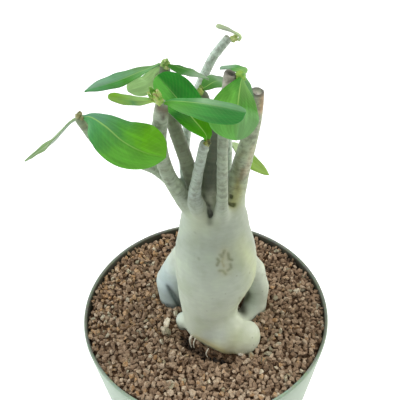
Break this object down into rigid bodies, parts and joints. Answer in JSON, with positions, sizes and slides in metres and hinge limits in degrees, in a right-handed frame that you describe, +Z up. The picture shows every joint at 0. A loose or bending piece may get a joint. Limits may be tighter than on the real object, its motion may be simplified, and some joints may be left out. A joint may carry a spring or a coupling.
{
  "type": "potted desert rose adenium",
  "caption": "Bonsai-like adenium with a swollen grey-green caudex on root legs, short bare branches and sparse leathery leaves, in a plain round pot topped with lava gravel.",
  "frame": {"origin": "middle of the underside of the pot, on the pot's axis", "axes": "+Z up along the pot's axis, -Y towards the side with the swollen front root, +X to the right seen from there"},
  "size_m": [0.1598, 0.1498, 0.2836],
  "materials": {
    "pot_plastic": "satin pale celadon",
    "potting_mix": "matt, crumbly",
    "lava_gravel": "rough, brown with grey and orange grains",
    "bark": "smooth, waxy pale sage grey",
    "young_shoot": "satin yellow-green",
    "leaf": "satin mid-green with pale midrib"
  },
  "bodies": {
    "root": {"pot": "pot_plastic", "potting_mix": "potting_mix", "gravel": "lava_gravel", "caudex": "bark", "shoot_far_left": "young_shoot", "shoot_left": "young_shoot", "shoot_mid_left": "young_shoot", "shoot_short": "young_shoot", "shoot_centre": "young_shoot", "shoot_front": "young_shoot", "shoot_twig": "young_shoot", "leaf_far_left": "leaf", "leaf_left_large": "leaf", "leaf_high_left": "leaf", "leaf_high_behind": "leaf", "leaf_middle_large": "leaf", "leaf_high_right": "leaf", "leaf_front_long": "leaf", "leaf_front_narrow": "leaf", "leaf_centre": "leaf", "leaf_right_large": "leaf", "leaf_right_dark": "leaf", "leaf_rear": "leaf", "leaf_curled": "leaf", "leaf_twig": "leaf"}
  },
  "joints": []
}
